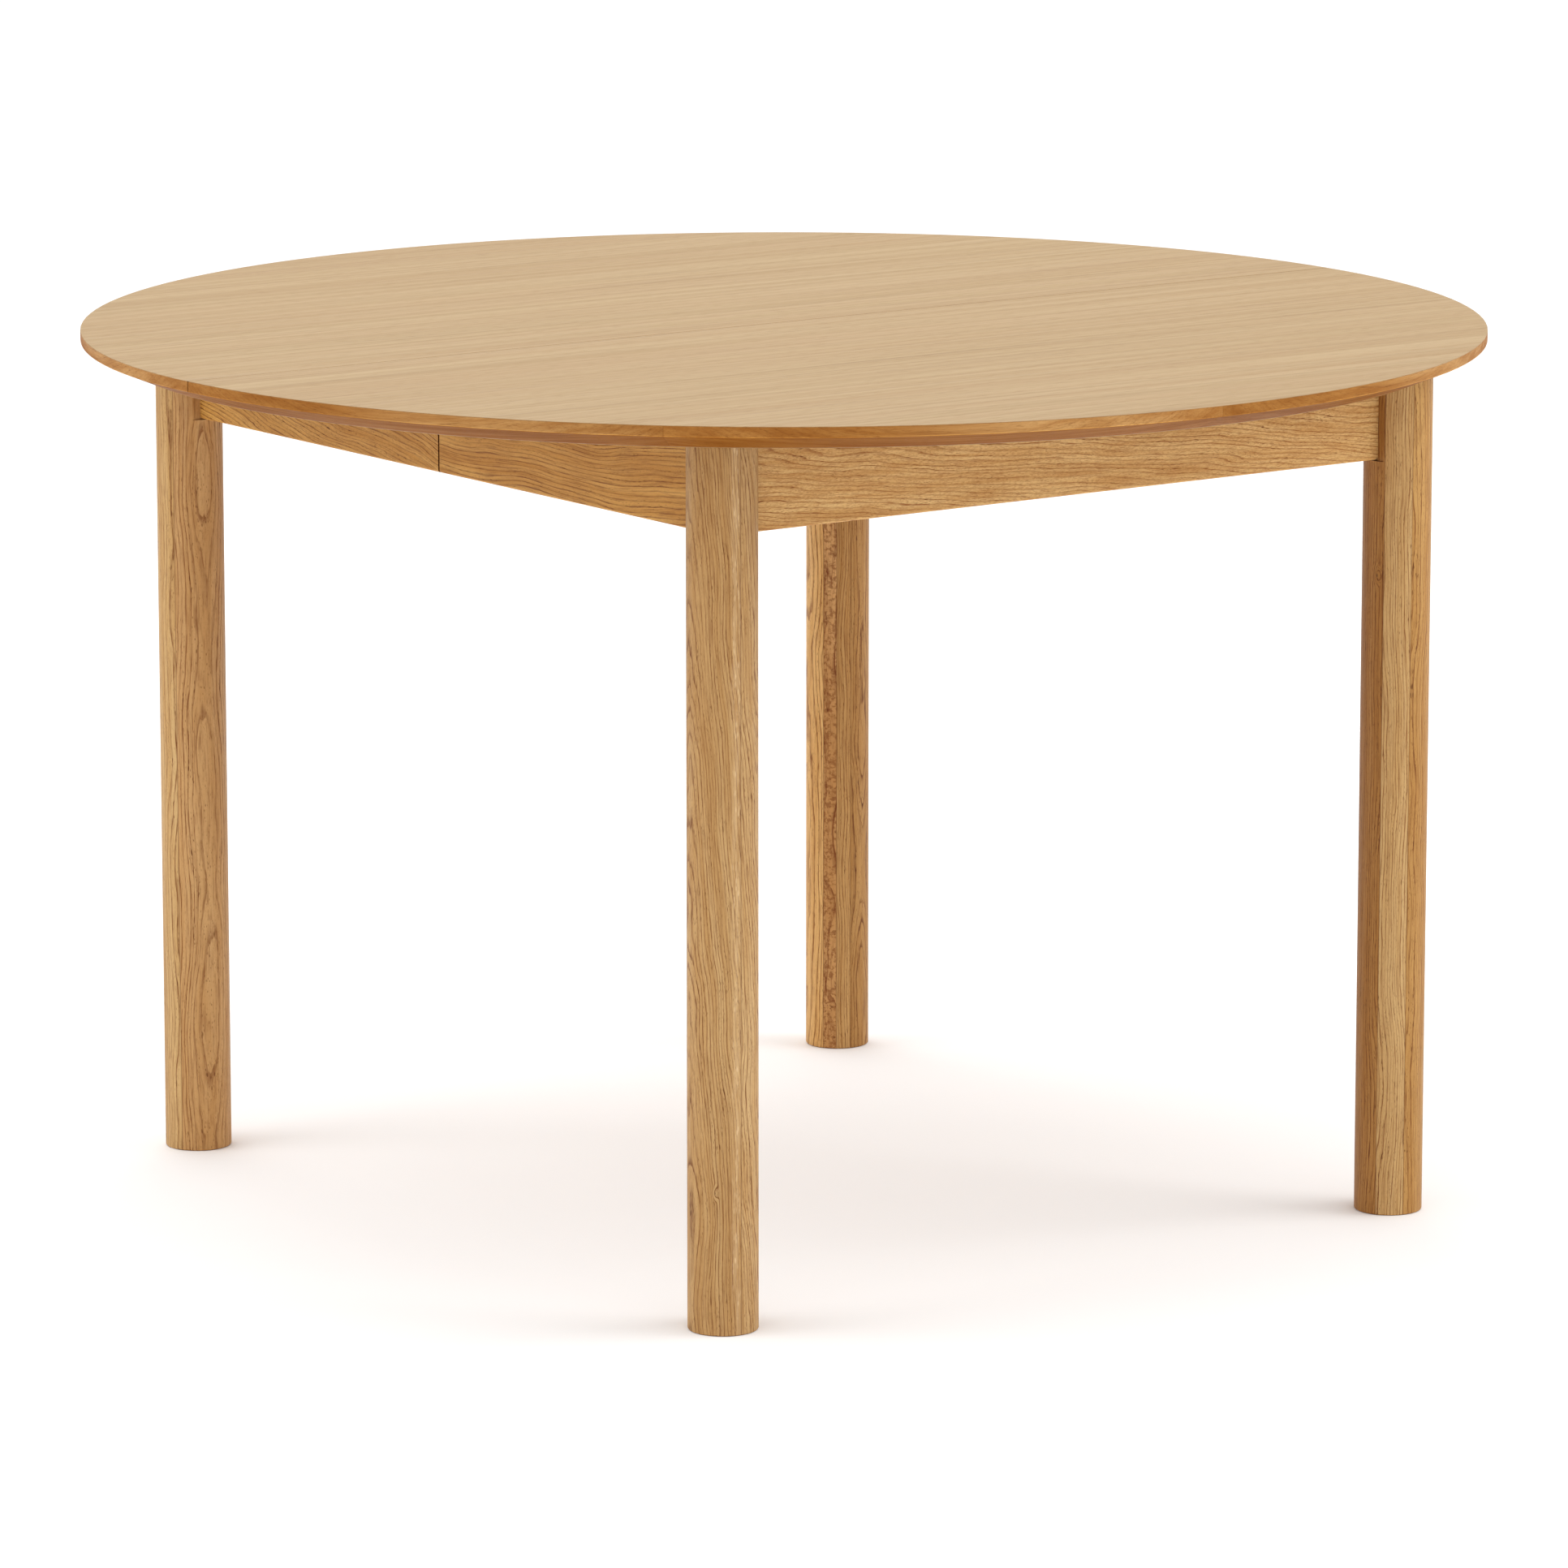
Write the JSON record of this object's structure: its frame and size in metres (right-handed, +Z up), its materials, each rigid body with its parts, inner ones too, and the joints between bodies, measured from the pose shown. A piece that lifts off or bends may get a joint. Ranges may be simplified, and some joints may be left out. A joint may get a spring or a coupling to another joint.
{
  "type": "extending dining table",
  "caption": "Round split-top dining table on turned legs; the halves slide apart on telescoping wooden runners and lock together from below.",
  "frame": {"origin": "on the floor, below the middle of the closed table", "axes": "+Z up, X along the joint between the halves, +Y the way the rear half pulls away"},
  "size_m": [1.2, 1.2, 0.75],
  "materials": {
    "top_veneer": "satin lacquered oak veneer",
    "rim_oak": "satin lacquered solid oak, stained a shade deeper",
    "backing_veneer": "plain backing veneer, thin coat",
    "core_board": "raw particle board",
    "leg_oak": "satin lacquered oak, glued staves",
    "apron_oak": "satin lacquered oak",
    "plain_hardwood": "unfinished hardwood",
    "runner_beech": "waxed beech",
    "zinc_steel": "bright zinc plated",
    "screw_steel": "yellow zinc plated",
    "lock_steel": "black lacquered steel"
  },
  "bodies": {
    "front_half": {"aligning_dowels": "plain_hardwood", "backing_veneer_front": "backing_veneer", "bracket_screws_front": "screw_steel", "catch_pins": "lock_steel", "cleats_front": "plain_hardwood", "core_board_front": "core_board", "corner_bracket_front_left": "zinc_steel", "corner_bracket_front_right": "zinc_steel", "end_apron_front": "apron_oak", "face_veneer_front": "top_veneer", "hanger_bolts_front": "zinc_steel", "joint_lipping_front": "rim_oak", "leg_front_left": "leg_oak", "leg_front_right": "leg_oak", "lock_spacers_front": "zinc_steel", "nuts_front": "zinc_steel", "rail_front_left": "runner_beech", "rail_front_right": "runner_beech", "rail_packers_front": "plain_hardwood", "rail_screws_front": "screw_steel", "rim_lipping_front": "rim_oak", "side_apron_front_left": "apron_oak", "side_apron_front_right": "apron_oak", "top_screws_front": "screw_steel", "washers_front": "zinc_steel"},
    "rear_half": {"backing_veneer_rear": "backing_veneer", "bracket_screws_rear": "screw_steel", "cleats_rear": "plain_hardwood", "core_board_rear": "core_board", "corner_bracket_rear_left": "zinc_steel", "corner_bracket_rear_right": "zinc_steel", "end_apron_rear": "apron_oak", "face_veneer_rear": "top_veneer", "hanger_bolts_rear": "zinc_steel", "joint_lipping_rear": "rim_oak", "leg_rear_left": "leg_oak", "leg_rear_right": "leg_oak", "lock_pivots": "lock_steel", "lock_spacers_rear": "zinc_steel", "nuts_rear": "zinc_steel", "rail_packers_rear": "plain_hardwood", "rail_rear_left": "runner_beech", "rail_rear_right": "runner_beech", "rail_screws_rear": "screw_steel", "rim_lipping_rear": "rim_oak", "side_apron_rear_left": "apron_oak", "side_apron_rear_right": "apron_oak", "top_screws_rear": "screw_steel", "washers_rear": "zinc_steel"},
    "middle_rail_left": {"rail_middle_left": "runner_beech", "stop_pins_left": "zinc_steel"},
    "middle_rail_right": {"rail_middle_right": "runner_beech", "stop_pins_right": "zinc_steel"},
    "lock_left": {"lock_hook_left": "lock_steel"},
    "lock_right": {"lock_hook_right": "lock_steel"}
  },
  "joints": [
    {"name": "rear_half_slide", "type": "slide", "parent": "front_half", "child": "rear_half", "axis": [0, 1, 0], "range_m": [0, 0.5]},
    {"name": "middle_rail_left_slide", "type": "slide", "parent": "front_half", "child": "middle_rail_left", "axis": [0, 1, 0], "range_m": [0, 0.25]},
    {"name": "middle_rail_right_slide", "type": "slide", "parent": "front_half", "child": "middle_rail_right", "axis": [0, 1, 0], "range_m": [0, 0.25]},
    {"name": "lock_left_swing", "type": "hinge", "parent": "rear_half", "child": "lock_left", "pos_m": [-0.1, 0.028, 0.7235], "axis": [0, 0, 1], "range_deg": [-90, 0]},
    {"name": "lock_right_swing", "type": "hinge", "parent": "rear_half", "child": "lock_right", "pos_m": [0.1, 0.028, 0.7235], "axis": [0, 0, 1], "range_deg": [0, 90]}
  ],
  "couplings": [
    {"joint": "middle_rail_left_slide", "follows": "rear_half_slide", "ratio": 0.5},
    {"joint": "middle_rail_right_slide", "follows": "rear_half_slide", "ratio": 0.5}
  ]
}
